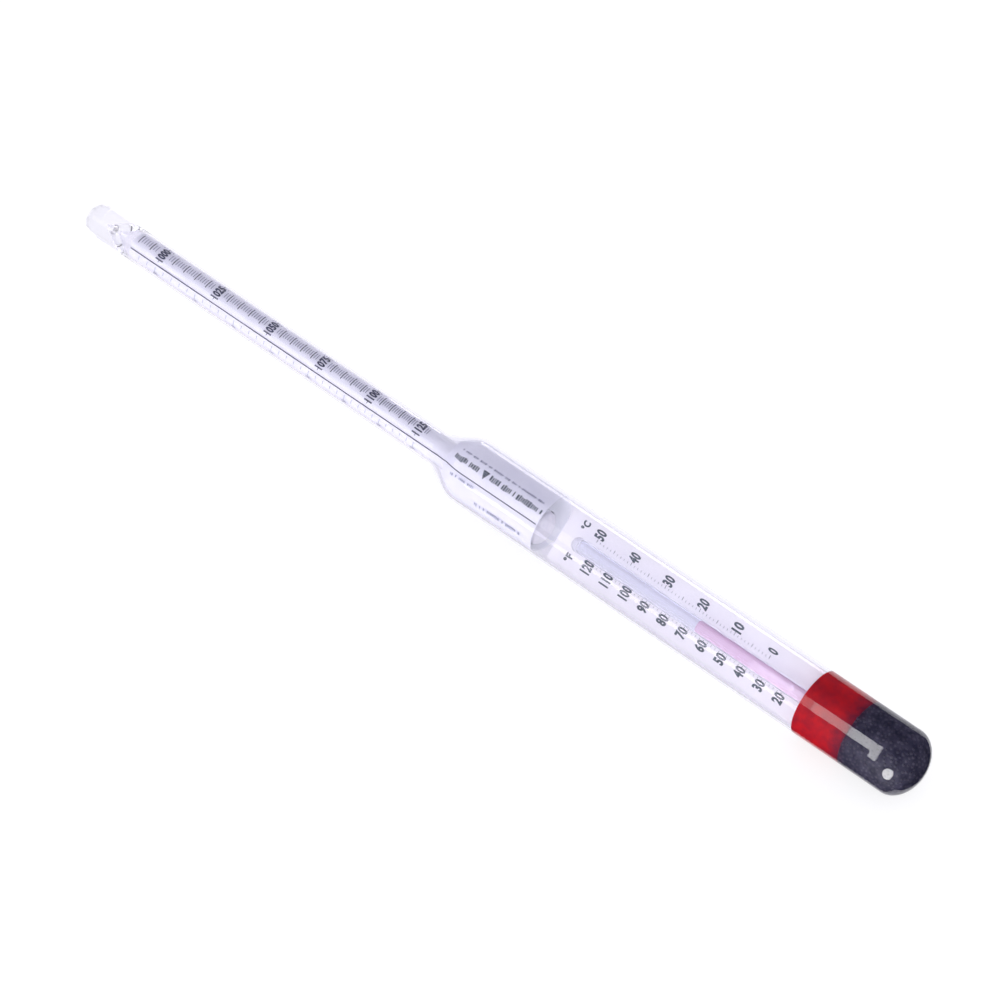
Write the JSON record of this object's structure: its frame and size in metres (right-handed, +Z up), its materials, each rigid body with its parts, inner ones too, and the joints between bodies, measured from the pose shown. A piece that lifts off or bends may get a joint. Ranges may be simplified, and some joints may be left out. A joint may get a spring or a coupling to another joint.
{
  "type": "hydrometer with thermometer",
  "caption": "Glass hydrometer with a paper density scale in its stem, a spirit thermometer on a card in its body, and a wax-sealed ballast end.",
  "frame": {"origin": "centre of the object's box, on the surface that it lies on", "axes": "+X runs along the glass from the stem's tip to the ballast end, +Z is up with the instrument lying on its side, and the scales face up and towards -Y"},
  "size_m": [0.275, 0.018, 0.018],
  "materials": {
    "glass_envelope": "gloss",
    "capillary_glass": "gloss",
    "scale_paper": "matte",
    "wad": "matte",
    "label_paper": "matte",
    "card": "satin",
    "spirit": "gloss",
    "wax": "satin",
    "shot": "satin"
  },
  "bodies": {
    "instrument": {"stem_tube": "glass_envelope", "body_tube": "glass_envelope", "ballast_end": "glass_envelope", "scale_roll": "scale_paper", "roll_wad": "wad", "label_roll": "label_paper", "thermometer_card": "card", "capillary_tube": "capillary_glass", "thermometer_bulb": "capillary_glass", "bulb_spirit": "spirit", "sealing_wax": "wax", "shot_ballast": "shot"},
    "spirit": {"spirit_thread": "spirit"}
  },
  "joints": [
    {"name": "spirit_rise", "type": "slide", "parent": "instrument", "child": "spirit", "axis": [-1, 0, 0], "range_m": [-0.0197, 0.0351], "deforming": ["spirit_thread"]}
  ]
}
